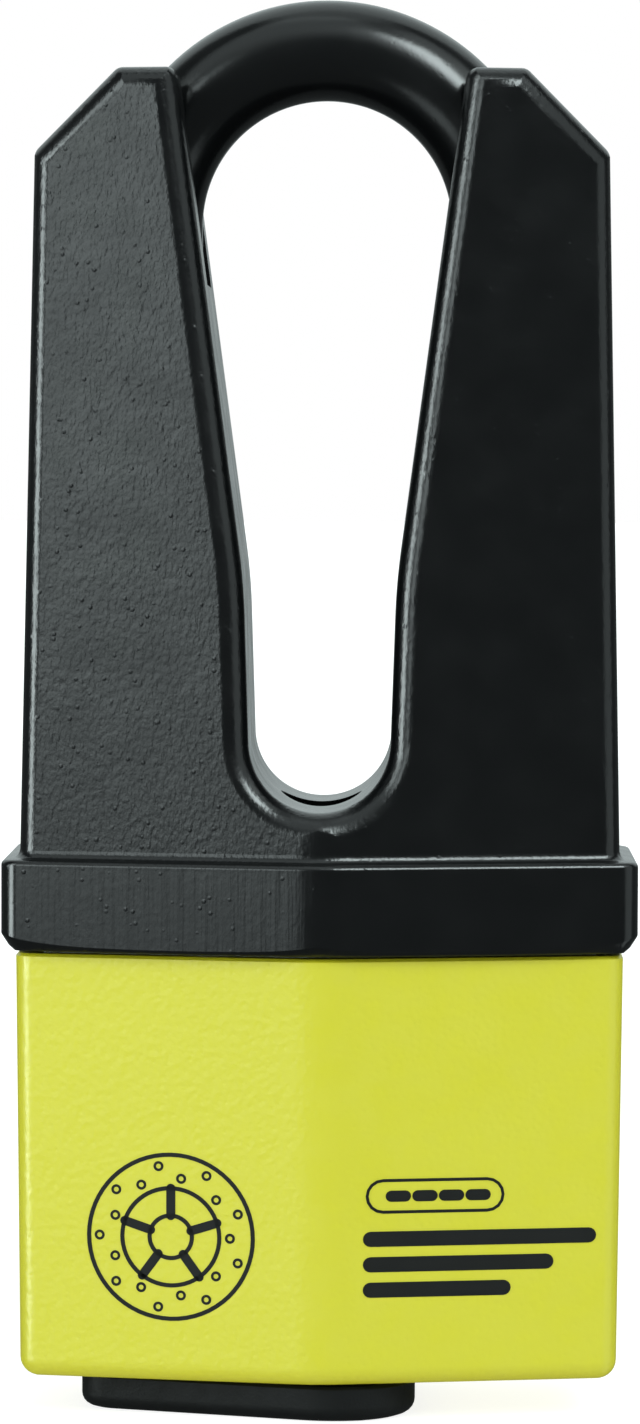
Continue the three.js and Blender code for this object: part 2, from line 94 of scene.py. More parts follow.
THROAT_RADIUS = 6.95
THROAT_KINK_RISE = 22.4  # from the floor to where the walls start to open wider
THROAT_KINK_Z = THROAT_Z + THROAT_KINK_RISE
THROAT_LOWER_SLOPE = 0.0325  # half width gained per millimetre of height, below the kink
THROAT_UPPER_SLOPE = 0.1335  # and above it
THROAT_FILLET = 2.7
DRAIN_RADIUS = 4.05  # round blind recess in the throat floor
DRAIN_DEPTH = 3.0
ARM_EDGE_FILLET = 2.2
CHANNEL_DEPTH = 6.0  # how far the open channels for the bow reach below its centre

BAR_RADIUS = (BOW_HIGH[1] - BOW_LOW[1]) / 2
LEG_X = (BOW_HIGH[0] - BOW_LOW[0]) / 2 - BAR_RADIUS
BOW_SHIFT = (BOW_HIGH[0] + BOW_LOW[0]) / 2  # the bow's offset to one side in its bores
BOW_Z = BOW_HIGH[2] - BAR_RADIUS - LEG_X
LEG_END_Z = BOW_LOW[2]
BORE_RADIUS = 5.7
NOTCH_DEPTH = 2.5
SEAL_SEAT_RADIUS = 7.6
SEAL_SEAT_DEPTH = 3.2
SCREW_RADIUS = 2.0
SCREW_HOLE_TOP = 0.6  # metal left between a screw hole and the ledge
CLEARANCE = 0.3
OVERSHOOT = 1.0  # how far a cutting shape runs past the surface it opens

PIVOT_X = (PIVOT_LOW[0] + PIVOT_HIGH[0]) / 2
PIVOT_HOLE_RADIUS = 1.6 + CLEARANCE
KEYWAY_RADIUS = 5.4
LONG_EDGE = 5.0  # edges of a ring longer than this are split
SHARP_ANGLE = math.radians(32.0)  # edges that turn more than this stay sharp


# ---------------------------------------------------------------- outlines
def rounded_outline(corners, steps):
    """A polygon of (x, y, radius) corners as an evenly stepped outline."""
    outline = []
    for i, (x, y, radius) in enumerate(corners):
        here = np.array((x, y))
        before = np.array(corners[i - 1][:2]) - here
        after = np.array(corners[(i + 1) % len(corners)][:2]) - here
        before /= np.linalg.norm(before)
        after /= np.linalg.norm(after)
        half = math.acos(np.clip(before @ after, -1, 1)) / 2
        middle = before + after
        centre = here + middle / np.linalg.norm(middle) * radius / math.sin(half)
        start = here + before * radius / math.tan(half) - centre
        end = here + after * radius / math.tan(half) - centre
        turn = math.atan2(start[0] * end[1] - start[1] * end[0], start @ end)
        for step in range(steps + 1):
            angle = turn * step / steps
            c, s = math.cos(angle), math.sin(angle)
            outline.append(centre + (c * start[0] - s * start[1], s * start[0] + c * start[1]))
    return np.array(outline)


def body_ring(size, z, inset=0.0, steps=10):
    """The body's section: a flattened hexagon with a ridge at the front and back and flat sides."""
    width, depth = size[0] - inset, size[1] - inset
    flat = depth - RIDGE_SLOPE * width
    corner = max(CORNER_RADIUS - inset, 0.3)
    outline = rounded_outline(
        [
            (0, -depth, RIDGE_RADIUS), (width, -flat, corner), (width, flat, corner),
            (0, depth, RIDGE_RADIUS), (-width, flat, corner), (-width, -flat, corner),
        ],
        steps,
    )
    return np.column_stack((outline, np.full(len(outline), z)))


def with_long_edges_split(ring, pieces=24):
    """The same ring with points added along its long straight edges."""
    points = []
    for here, after in zip(ring, np.roll(ring, -1, axis=0)):
        count = pieces if np.linalg.norm(after - here) > LONG_EDGE else 1
        points.extend(here + (after - here) * step / count for step in range(count))
    return np.array(points)


def blend_rings(a, b, share, z):
    ring = a * (1 - share) + b * share
    ring[:, 2] = z
    return ring


# ---------------------------------------------------------------- meshes
def new_piece(name, points_mm, faces):
    mesh = bpy.data.meshes.new(name)
    mesh.from_pydata((np.asarray(points_mm) * MM).tolist(), [], faces)
    mesh.validate()
    piece = bpy.data.objects.new(name, mesh)
    bpy.context.scene.collection.objects.link(piece)
    return piece


def loft(name, rings):
    """A closed skin through rings of the same number of points, closed by a face at each end."""
    rings = np.array(rings)
    count, sides = rings.shape[:2]
    faces = []
    for ring in range(count - 1):
        for i in range(sides):
            a, b = ring * sides + i, ring * sides + (i + 1) % sides
            faces.append((a, b, b + sides, a + sides))
    faces.append(tuple(reversed(range(sides))))
    faces.append(tuple(range((count - 1) * sides, count * sides)))
    piece = new_piece(name, rings.reshape(-1, 3), faces)
    if signed_volume(piece.data) < 0:
        piece.data.flip_normals()
    return piece


def signed_volume(mesh):
    total = 0.0
    mesh.calc_loop_triangles()
    for triangle in mesh.loop_triangles:
        a, b, c = (mesh.vertices[i].co for i in triangle.vertices)
        total += a.dot(b.cross(c))
    return total


def rod(name, radius, z0, z1, x=0.0, y=0.0, sides=64):
    angles = np.arange(sides) * 2 * math.pi / sides
    circle = np.column_stack((x + radius * np.cos(angles), y + radius * np.sin(angles)))
    return loft(name, [np.column_stack((circle, np.full(sides, z))) for z in (z0, z1)])


def block(name, low, high):
    corners = [(low[0], low[1]), (high[0], low[1]), (high[0], high[1]), (low[0], high[1])]
    return loft(name, [[(x, y, z) for x, y in corners] for z in (low[2], high[2])])


def combine(base, tools, operation="DIFFERENCE"):
    """Cuts base by each tool, or joins or intersects them, and removes the tools."""
    for tool in tools:
        modifier = base.modifiers.new("combine", "BOOLEAN")
        modifier.operation = operation
        modifier.solver = "MANIFOLD"
        modifier.object = tool
    evaluated = base.evaluated_get(bpy.context.evaluated_depsgraph_get())
    old = base.data
    base.data = bpy.data.meshes.new_from_object(evaluated)
    base.data.name = old.name
    base.modifiers.clear()
    bpy.data.meshes.remove(old)
    for tool in tools:
        bpy.data.objects.remove(tool)
    return base


def shade(piece):
    """Smooth shading that keeps real edges, with flat faces left looking flat."""
    piece.data.shade_smooth()
    piece.data.set_sharp_from_angle(angle=SHARP_ANGLE)
    modifier = piece.modifiers.new("weighted_normals", "WEIGHTED_NORMAL")
    modifier.keep_sharp = True
    modifier.weight = 80


def dress(piece, body, slot, *nodes, finish=None):
    """The last step of a new piece: shading, finish, body and the CAD nodes it stands for."""
    shade(piece)
    piece.data.materials.clear()
    piece.data.materials.append(finish or FINISHES[slot])
    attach(piece, body)
    if nodes:
        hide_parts(*nodes)
    return piece


# ---------------------------------------------------------------- materials
class Finish:
    """A node material, with short calls for the nodes that the finishes share."""

    def __init__(self, name, color, roughness, metallic=0.0):
        self.material = bpy.data.materials.new(name)
        self.material.use_nodes = True
        self.tree = self.material.node_tree
        self.shader = self.tree.nodes["Principled BSDF"]
        self.shader.inputs["Base Color"].default_value = (*color, 1)
        self.shader.inputs["Roughness"].default_value = roughness
        self.shader.inputs["Metallic"].default_value = metallic
        self.place = self.node("ShaderNodeTexCoord").outputs["Object"]
        self.height = None

    def node(self, kind, **inputs):
        made = self.tree.nodes.new(kind)
        for key, value in inputs.items():
            self.feed(made.inputs[key.replace("_", " ")], value)
        return made

    def feed(self, socket, value):
        if isinstance(value, bpy.types.NodeSocket):
            self.tree.links.new(value, socket)
        else:
            socket.default_value = value

    def noise(self, scale, detail=2.0, roughness=0.5, stretch=(1, 1, 1)):
        place = self.node("ShaderNodeMapping", Vector=self.place, Scale=stretch).outputs["Vector"]
        made = self.node("ShaderNodeTexNoise", Vector=place, Scale=scale, Detail=detail)
        made.inputs["Roughness"].default_value = roughness
        return made.outputs["Fac"]

    def cells(self, scale, feature="SMOOTH_F1"):
        made = self.node("ShaderNodeTexVoronoi", Vector=self.place, Scale=scale)
        made.feature = feature
        return made.outputs["Distance"]

    def remap(self, value, low, high, to_low, to_high):
        made = self.node("ShaderNodeMapRange", Value=value)
        for key, number in (("From Min", low), ("From Max", high), ("To Min", to_low), ("To Max", to_high)):
            made.inputs[key].default_value = number
        return made.outputs["Result"]

    def math(self, operation, a, b):
        made = self.tree.nodes.new("ShaderNodeMath")
        made.operation = operation
        self.feed(made.inputs[0], a)
        self.feed(made.inputs[1], b)
        return made.outputs[0]

    def mix(self, share, color_a, color_b):
        made = self.tree.nodes.new("ShaderNodeMix")
        made.data_type = "RGBA"
        self.feed(made.inputs["Factor"], share)
        self.feed(made.inputs["A"], (*color_a, 1))
        self.feed(made.inputs["B"], (*color_b, 1))
        return made.outputs["Result"]

    def bump(self, height, depth_mm):
        """Adds a relief of this depth, on top of any relief added before."""
        made = self.node("ShaderNodeBump", Height=height)
        made.inputs["Strength"].default_value = 1.0
        made.inputs["Distance"].default_value = depth_mm * MM
        if self.height is not None:
            self.tree.links.new(self.height, made.inputs["Normal"])
        self.height = made.outputs["Normal"]
        self.feed(self.shader.inputs["Normal"], self.height)

    def color(self, socket):
        self.feed(self.shader.inputs["Base Color"], socket)

    def roughness(self, socket):
        self.feed(self.shader.inputs["Roughness"], socket)


def cast_paint():
    finish = Finish("black_paint_cast", (0.0022, 0.0024, 0.0026), 0.22)
    grain = finish.noise(3000, detail=2.5, roughness=0.6, stretch=(1, 1, 0.5))
    peel = finish.noise(1700, detail=1.5, stretch=(1, 1, 0.7))
    specks = finish.remap(finish.cells(820, "F1"), 0.06, 0.2, 1.0, 0.0)
    some = finish.remap(finish.noise(420), 0.38, 0.52, 0.0, 1.0)
    height = finish.node("ShaderNodeSeparateXYZ", Vector=finish.place).outputs["Z"]
    on_collar = finish.remap(height, LEDGE_Z * MM, (LEDGE_Z - 0.8) * MM, 0.0, 1.0)
    streaks = finish.math("MULTIPLY", finish.noise(1500, detail=2.0, stretch=(1, 1, 0.04)), on_collar)
    off_collar = finish.remap(on_collar, 0.0, 1.0, 1.0, 0.3)
    finish.bump(finish.math("MULTIPLY", peel, off_collar), 0.026)
    finish.bump(streaks, 0.026)
    finish.bump(finish.math("MULTIPLY", grain, off_collar), 0.024)
    finish.bump(finish.math("MULTIPLY", specks, some), 0.018)
    finish.color(finish.mix(finish.noise(90), (0.0020, 0.0022, 0.0024), (0.0024, 0.0027, 0.0029)))
    finish.roughness(finish.remap(finish.noise(220, detail=3.0), 0.3, 0.7, 0.19, 0.26))
    return finish.material


def smooth_paint():
    finish = Finish("black_paint_smooth", (0.0022, 0.0024, 0.0026), 0.2)
    pits = finish.remap(finish.cells(900, "F1"), 0.04, 0.16, 0.0, 1.0)
    finish.bump(finish.noise(500, detail=2.0), 0.016)
    finish.bump(finish.noise(2600, detail=2.0), 0.006)
    finish.bump(pits, 0.004)
    finish.color(finish.mix(finish.noise(120), (0.0020, 0.0022, 0.0024), (0.0025, 0.0028, 0.0030)))
    finish.roughness(finish.remap(finish.noise(160, detail=3.0), 0.3, 0.7, 0.17, 0.24))
    return finish.material


def yellow_plastic():
    finish = Finish("yellow_plastic", (0.457, 0.432, 0.01), 0.36)
    finish.shader.inputs["Specular IOR Level"].default_value = 0.85
    finish.color(finish.mix(finish.noise(35, detail=2.0), (0.449, 0.425, 0.0096), (0.465, 0.439, 0.0104)))
    finish.bump(finish.cells(1500), 0.045)
    finish.bump(finish.noise(2600, detail=2.0), 0.016)
    finish.roughness(finish.remap(finish.noise(400, detail=2.0), 0.3, 0.7, 0.33, 0.41))
    return finish.material


def black_plastic():
    finish = Finish("black_plastic", (0.0034, 0.0038, 0.0038), 0.46)
    finish.shader.inputs["Specular IOR Level"].default_value = 0.2
    finish.bump(finish.noise(3200, detail=2.0), 0.03)
    finish.roughness(finish.remap(finish.noise(700, detail=2.0), 0.3, 0.7, 0.5, 0.62))
    return finish.material


def print_ink():
    finish = Finish("print_ink", (0.005, 0.0055, 0.005), 0.5)
    finish.shader.inputs["Specular IOR Level"].default_value = 0.25
    finish.bump(finish.noise(2600, detail=2.0), 0.012)
    finish.color(finish.mix(finish.noise(300), (0.004, 0.0045, 0.004), (0.007, 0.0075, 0.007)))
    return finish.material


def machined_metal(name, color, roughness, grain=(1, 1, 0.08)):
    finish = Finish(name, color, roughness, metallic=1.0)
    lines = finish.noise(2600, detail=3.0, stretch=grain)
    finish.bump(lines, 0.004)
    finish.roughness(finish.remap(lines, 0.3, 0.7, roughness * 0.8, roughness * 1.25))
    darker = tuple(c * 0.82 for c in color)
    finish.color(finish.mix(finish.noise(180, detail=3.0), darker, color))
    return finish.material


def soft_rubber():
    finish = Finish("rubber", (0.012, 0.012, 0.012), 0.75)
    finish.bump(finish.noise(2400, detail=2.0), 0.02)
    finish.roughness(finish.remap(finish.noise(500), 0.3, 0.7, 0.7, 0.85))
    return finish.material


FINISHES = {
    "black_paint": cast_paint(),
    "shackle_paint": smooth_paint(),
    "yellow_plastic": yellow_plastic(),
    "black_plastic": black_plastic(),
    "core_steel": machined_metal("core_steel", (0.46, 0.47, 0.48), 0.38),
    "hardened_steel": machined_metal("hardened_steel", (0.34, 0.35, 0.37), 0.32, (0.1, 1, 1)),
    "spring_steel": machined_metal("spring_steel", (0.55, 0.55, 0.56), 0.26),
    "brass": machined_metal("brass", (0.62, 0.45, 0.18), 0.3, (1, 0.1, 1)),
    "rubber": soft_rubber(),
}


# ---------------------------------------------------------------- fork casting
def bevel_height(x):
    """Height of the ground bevel under the collar: tall at the ridge and the corners."""
    from_corner = COLLAR[0] - np.abs(x)
    return 0.35 + 0.75 * np.exp(-np.abs(x) / 3.5) + 1.4 * np.exp(-from_corner / 4.5)


def collar_ring(size, z, inset=0.0):
    return with_long_edges_split(body_ring(size, z, inset))


def collar_rings():
    face = collar_ring(COLLAR, COLLAR_Z)
    height = bevel_height(face[:, 0])[:, None]
    share = height / height.max()
    rings = []
    for inset, rise in ((1.35, 0.0), (0.75, 0.3), (0.2, 0.78), (0.04, 0.93), (0.0, 1.0)):
        ring = face * (1 - share) + collar_ring(COLLAR, COLLAR_Z, inset) * share
        ring[:, 2] = COLLAR_Z + rise * height[:, 0]
        rings.append(ring)
    edge = 0.55
    for step in range(6):
        angle = math.pi / 2 * step / 5
        z = LEDGE_Z - edge + edge * math.sin(angle)
        rings.append(collar_ring(COLLAR, z, edge * (1 - math.cos(angle))))
    ledge = collar_ring(COLLAR, LEDGE_Z, edge)
    wall = collar_ring(ARM_BASE, LEDGE_Z, -0.012)
    hollow = 0.8
    for step in range(7):
        angle = math.pi / 2 * step / 6
        share = 1 - 0.62 * (1 - math.sin(angle))
        z = LEDGE_Z + 0.1 + hollow * (1 - math.cos(angle))
        rings.append(blend_rings(ledge, wall, share, z))
    return rings


def arm_size(z):
    share = (z - LEDGE_Z) / (ARM_TOP_Z - LEDGE_Z)
    return tuple(a + (b - a) * share for a, b in zip(ARM_BASE, ARM_TOP))


def arm_half_depth(x, z):
    return arm_size(z)[1] - RIDGE_SLOPE * abs(x)


def flared_rings(outline_at, fillet):
    """Rings from back to front through the arms. The offset that outline_at takes rises from 0 to
    the fillet's radius where the rings near the front and back facets, which rounds the edges."""
    reach, steps = 24.0, 10
    rings = []
    for side in (1, -1):
        half = []
        for step in range(steps + 1):
            angle = math.pi / 2 * step / steps
            offset = fillet * (1 - math.cos(angle))
            below = fillet * (1 - math.sin(angle)) - 0.01
            half.append([(x, side * (arm_half_depth(x, z) - below), z) for x, z in outline_at(offset)])
        half.append([(x, side * reach, z) for x, z in outline_at(fillet)])
        rings.extend(reversed(half) if side == 1 else half)
    return rings


def arm_outline(inset):
    """The front view of the arms' outside. The tops and shoulders move in by the inset, and the
    sides stay a hair outside the arms. It has a point on the ridge."""
    skin, steps = 0.02, 6
    fall = (ARM_TOP_Z - SHOULDER_Z) / (SHOULDER_X - ARM_TOP_FLAT)
    drop = inset * math.hypot(1, fall)
    top_x, top_z, round_top = ARM_TOP_FLAT - (drop - inset) / fall, ARM_TOP_Z - inset, max(1.2 - inset, 0.3)
    side_x, side_z, round_side = arm_size(SHOULDER_Z)[0] + skin, SHOULDER_Z - drop, max(1.5 - inset, 0.3)
    foot_z = LEDGE_Z - 3.0
    foot_x = arm_size(foot_z)[0] + skin
    outline = rounded_outline(
        [
            (foot_x, foot_z, 0.2), (side_x, side_z, round_side), (top_x, top_z, round_top),
            (-top_x, top_z, round_top), (-side_x, side_z, round_side), (-foot_x, foot_z, 0.2),
        ],
        steps,
    )
    return np.insert(outline, 3 * (steps + 1), (0.0, top_z), axis=0)


def throat_half_width(z):
    kink = THROAT_RADIUS + THROAT_LOWER_SLOPE * (THROAT_KINK_Z - THROAT_Z - THROAT_RADIUS)
    slope = THROAT_UPPER_SLOPE if z > THROAT_KINK_Z else THROAT_LOWER_SLOPE
    return kink + slope * (z - THROAT_KINK_Z)


def throat_outline(offset):
    """Down the right wall, round the floor and up the left wall, rounding over the arm tops."""
    lip = 1.3
    lip_z = ARM_TOP_Z - lip + 0.01
    lip_x = throat_half_width(lip_z) + offset + lip
    right = [(lip_x, ARM_TOP_Z + 12.0)]
    for step in range(7):
        angle = math.pi / 2 * (1 + step / 6)
        right.append((lip_x + lip * math.cos(angle), lip_z + lip * math.sin(angle)))
    bend = 3.0
    for share in (1.0, 0.6, 0.2, -0.2, -0.6, -1.0):
        z = THROAT_KINK_Z + share * bend
        ease = (THROAT_UPPER_SLOPE - THROAT_LOWER_SLOPE) * bend * (1 - abs(share)) ** 2 / 4
        right.append((throat_half_width(z) + ease + offset, z))
    centre_z = THROAT_Z + THROAT_RADIUS
    for step in range(25):
        angle = -math.pi / 2 * step / 24
        radius = THROAT_RADIUS + offset
        right.append((radius * math.cos(angle), centre_z + radius * math.sin(angle)))
    left = [(-x, z) for x, z in reversed(right[:-1])]
    return right + left


def leg_tools(z0, z1, radius):
    return [rod("bore", radius, z0, z1, side * LEG_X) for side in (-1, 1)]


def fork_casting():
    arms = loft("fork", [body_ring(arm_size(z), z) for z in (LEDGE_Z - 2.0, ARM_TOP_Z + 2.0)])
    outline = loft("outline", flared_rings(arm_outline, ARM_EDGE_FILLET))
    combine(arms, [outline], "INTERSECT")
    collar = loft("collar", collar_rings())
    combine(arms, [collar], "UNION")
    throat = loft("throat", flared_rings(throat_outline, THROAT_FILLET))
    drain = rod("drain", DRAIN_RADIUS, THROAT_Z - DRAIN_DEPTH, THROAT_Z + THROAT_RADIUS, sides=96)
    below, above = COLLAR_Z - OVERSHOOT, ARM_TOP_Z + 5 * OVERSHOOT
    tools = [throat, drain, *leg_tools(below, above, BORE_RADIUS)]
    tools += leg_tools(below, COLLAR_Z + SEAL_SEAT_DEPTH, SEAL_SEAT_RADIUS)
    for side in (-1, 1):
        inner, outer = sorted((0.0, side * LEG_X))
        low = (inner, -BORE_RADIUS, BOW_Z - CHANNEL_DEPTH)
        tools.append(block("channel", low, (outer, BORE_RADIUS, above)))
    screw_x, screw_y = ((SCREW_LOW + SCREW_HIGH) / 2)[:2]
    screw_hole = SCREW_RADIUS + CLEARANCE
    for x in (-screw_x, screw_x):
        for y in (-screw_y, screw_y):
            tools.append(rod("hole", screw_hole, below, LEDGE_Z - SCREW_HOLE_TOP, x, y, 32))
    combine(arms, tools)
    arms.name = "fork_casting_finished"
    return dress(arms, "lock_body", "black_paint", "fork_casting")


# ---------------------------------------------------------------- shackle
def shackle():
    sides = 48
    angles = np.arange(sides) * 2 * math.pi / sides

    def ring(centre, outward, radius):
        across = radius * np.cos(angles)[:, None] * np.array(outward)
        depth = radius * np.sin(angles)[:, None] * np.array((0.0, 1.0, 0.0))
        return np.array(centre) + across + depth

    end = [(LEG_END_Z, BAR_RADIUS - 1.2), (LEG_END_Z + 1.0, BAR_RADIUS - 0.15), (LEG_END_Z + 1.5, BAR_RADIUS)]
    rings = [ring((LEG_X, 0, z), (1, 0, 0), radius) for z, radius in end]
    steps = 72
    for step in range(steps + 1):
        angle = math.pi * step / steps
        outward = (math.cos(angle), 0, math.sin(angle))
        rings.append(ring((LEG_X * outward[0], 0, BOW_Z + LEG_X * outward[2]), outward, BAR_RADIUS))
    rings += [ring((-LEG_X, 0, z), (-1, 0, 0), radius) for z, radius in reversed(end)]
    bow = loft("shackle_bow_finished", rings)
    notches = []
    for side in (-1, 1):
        left = side * LEG_X - BAR_RADIUS
        low = (left - 1, -BAR_RADIUS - 1, SLIDE_LOW[2] - 0.4)
        notches.append(block("notch", low, (left + NOTCH_DEPTH, BAR_RADIUS + 1, SLIDE_HIGH[2] + 0.4)))
    combine(bow, notches)
    bow.data.transform(Matrix.Translation((BOW_SHIFT * MM, 0, 0)))
    return dress(bow, "shackle", "shackle_paint", "shackle_bow")


# ---------------------------------------------------------------- housing cover
def housing_cover():
    edge = 1.9
    low, top = HOUSING_LOW[2], HOUSING_HIGH[2]
    rings = []
    for step in range(8):
        angle = math.pi / 2 * step / 7
        inset = edge * (1 - math.sin(angle))
        z = low + edge * (1 - math.cos(angle))
        rings.append(body_ring(COVER_BOTTOM, z, inset))
    top_bevel = 0.3
    rings.append(body_ring(COVER_TOP, top - top_bevel))
    rings.append(body_ring(COVER_TOP, top, top_bevel))
    cover = loft("housing_cover_finished", rings)
    floor_z = low + COVER_WALL
    inside = loft("inside", [
        body_ring(COVER_BOTTOM, floor_z, COVER_WALL),
        body_ring(COVER_TOP, top + OVERSHOOT, COVER_WALL),
    ])
    below, above = low - OVERSHOOT, floor_z + OVERSHOOT
    keyway = rod("keyway", KEYWAY_RADIUS, below, above)
    pivot_hole = rod("pivot_hole", PIVOT_HOLE_RADIUS, below, above, PIVOT_X, 0, 32)
    combine(cover, [inside, keyway, pivot_hole])
    return dress(cover, "lock_body", "yellow_plastic", "housing_cover")


# ---------------------------------------------------------------- printed marks
PRINT_RISE = 0.03  # how far the ink stands off the plastic
PRINT_ROOT = 0.12  # and how far its solid reaches into it


def on_front(outline, rise):
    """Points of an (x, z) outline laid on the front facets of the housing cover."""
    points = []
    for x, z in outline:
        share = (z - HOUSING_LOW[2]) / (HOUSING_HIGH[2] - HOUSING_LOW[2])
        depth = COVER_BOTTOM[1] + (COVER_TOP[1] - COVER_BOTTOM[1]) * share
        points.append((x, RIDGE_SLOPE * abs(x) - depth - rise, z))
    return points


def circle(x, z, radius, steps=64):
    angles = np.arange(steps) * 2 * math.pi / steps
    return np.column_stack((x + radius * np.cos(angles), z + radius * np.sin(angles)))


def bar(x0, z0, x1, z1, width):
    """A round-ended stroke from one point to another."""
    along = math.atan2(z1 - z0, x1 - x0)
    outline = []
    for x, z, start in ((x1, z1, along - math.pi / 2), (x0, z0, along + math.pi / 2)):
        for step in range(9):
            angle = start + math.pi * step / 8
            outline.append((x + width / 2 * math.cos(angle), z + width / 2 * math.sin(angle)))
    return np.array(outline)


def filled_mark(outline):
    return loft("mark", [on_front(outline, -PRINT_ROOT), on_front(outline, PRINT_RISE)])


def line_mark(outer, inner):
    """A closed line between two outlines with the same number of points."""
    rings = [on_front(outer, PRINT_RISE), on_front(outer, -PRINT_ROOT)]
    rings += [on_front(inner, -PRINT_ROOT), on_front(inner, PRINT_RISE)]
    count = len(outer)
    faces = []
    for ring in range(4):
        for i in range(count):
            a, b = ring * count + i, ring * count + (i + 1) % count
            shift = count if ring < 3 else -3 * count
            faces.append((a, b, b + shift, a + shift))
    mark = new_piece("mark", np.array(rings).reshape(-1, 3), faces)
    if signed_volume(mark.data) < 0:
        mark.data.flip_normals()
    return mark


def printed_marks():
    """A plain brake disc on the left facet. On the right one, a capsule of dashes over three bars."""
    line, stroke, spokes, holes = 0.42, 1.5, 5, 18
    marks = []
    disc_x, disc_z, disc_radius, track_radius, hub_radius = -14.4, 18.3, 8.3, 5.0, 2.3
    for radius in (disc_radius, track_radius, hub_radius):
        marks.append(line_mark(circle(disc_x, disc_z, radius), circle(disc_x, disc_z, radius - line)))
    for spoke in range(spokes):
        turn = math.radians(90 + 360 / spokes * spoke)
        c, s = math.cos(turn), math.sin(turn)
        start, end = hub_radius - line / 2, track_radius - line / 2
        marks.append(filled_mark(bar(
            disc_x + start * c, disc_z + start * s, disc_x + end * c, disc_z + end * s, 0.9,
        )))
    hole_row = (disc_radius - line + track_radius) / 2
    for hole in range(holes):
        angle = math.radians(360 / holes * hole)
        radius = hole_row + (0.6 if hole % 2 else -0.6)
        x, z = disc_x + radius * math.cos(angle), disc_z + radius * math.sin(angle)
        marks.append(line_mark(circle(x, z, 0.5, 24), circle(x, z, 0.24, 24)))
    left, top, capsule_end = 5.2, 22.6, 16.6
    marks.append(line_mark(*(bar(left + 1.2, top, capsule_end, top, width) for width in (3.4, 2.8))))
    for dash in range(4):
        x = left + 2.0 + 2.6 * dash
        marks.append(filled_mark(bar(x, top, x + 1.4, top, 1.1)))
    for row, end in enumerate((26.6, 22.4, 18.2)):
        z = top - 4.2 - 2.5 * row
        marks.append(filled_mark(bar(left, z, end, z, stroke)))
    with bpy.context.temp_override(active_object=marks[0], selected_editable_objects=marks):
        bpy.ops.object.join()
    marks[0].name = "housing_print"
    return dress(marks[0], "lock_body", "black_plastic", finish=print_ink())


# ---------------------------------------------------------------- keyhole cover
def key_cover_ring(z, inset):
    left, right = KEY_COVER_LOW[0] + inset, KEY_COVER_HIGH[0] - inset
    outline = rounded_outline(
        [
            (left, -7.0 + inset, 3.2), (1.6, -15.0 + inset, 9.0), (right, -12.4 + inset, 7.0),
            (right, 12.4 - inset, 7.0), (1.6, 15.0 - inset, 9.0), (left, 7.0 - inset, 3.2),
        ],
        12,
    )
    return np.column_stack((outline, np.full(len(outline), z)))


def keyhole_cover():
    low, top = KEY_COVER_LOW[2], KEY_COVER_HIGH[2]
    edge = 1.5
    rings = []
    for step in range(7):
        angle = math.pi / 2 * step / 6
        rings.append(key_cover_ring(low + edge * (1 - math.cos(angle)), edge * (1 - math.sin(angle))))
    top_bevel = 0.25
    rings.append(key_cover_ring(top - top_bevel, 0))
    rings.append(key_cover_ring(top, top_bevel))
    cover = loft("keyhole_cover_finished", rings)
    below, above = low - OVERSHOOT, top + OVERSHOOT
    head_seat_depth, washer_seat_depth = 1.7, 1.1
    combine(cover, [
        rod("hole", PIVOT_HOLE_RADIUS, below, above, PIVOT_X, 0, 32),
        rod("head_seat", 3.2, below, low + head_seat_depth, PIVOT_X, 0, 48),
        rod("washer_seat", 4.6, top - washer_seat_depth, above, PIVOT_X, 0, 48),
    ])
    return dress(cover, "key_cover", "black_plastic", "keyhole_cover")


# ---------------------------------------------------------------- carried CAD nodes
def finish_cad_nodes():
    slots = {row["node"]: row["material_slot"] for row in frame["record"]["subparts"]}
    for node, piece in frame["nodes"].items():
        piece.data.materials.clear()
        piece.data.materials.append(FINISHES[slots[node]])
        piece.data.shade_smooth()
        piece.data.set_sharp_from_angle(angle=SHARP_ANGLE)


# ---------------------------------------------------------------- studio
CAMERA_DISTANCE = 585.0
CAMERA_AZIMUTH = 0.9  # degrees, as are the next two
CAMERA_ELEVATION = 2.7
CAMERA_ROLL = 0.2
CAMERA_LENS = 147.9
AIM = (-0.17, 0.0, 69.18)  # the point the camera looks at


def camera():
    data = bpy.data.cameras.new("camera")
    data.sensor_width = 36.0
    data.lens = CAMERA_LENS
    data.clip_start, data.clip_end = 0.01, 50.0
    made = bpy.data.objects.new("camera", data)
    azimuth, elevation = math.radians(CAMERA_AZIMUTH), math.radians(CAMERA_ELEVATION)
    back = Vector((
        math.sin(azimuth) * math.cos(elevation),
        -math.cos(azimuth) * math.cos(elevation),
        math.sin(elevation),
    ))
    made.location = (Vector(AIM) + back * CAMERA_DISTANCE) * MM
    made.rotation_mode = "QUATERNION"
    roll = Matrix.Rotation(math.radians(CAMERA_ROLL), 3, back)
    made.rotation_quaternion = (roll @ (-back).to_track_quat("-Z", "Y").to_matrix()).to_quaternion()
    bpy.context.scene.collection.objects.link(made)
    bpy.context.scene.camera = made


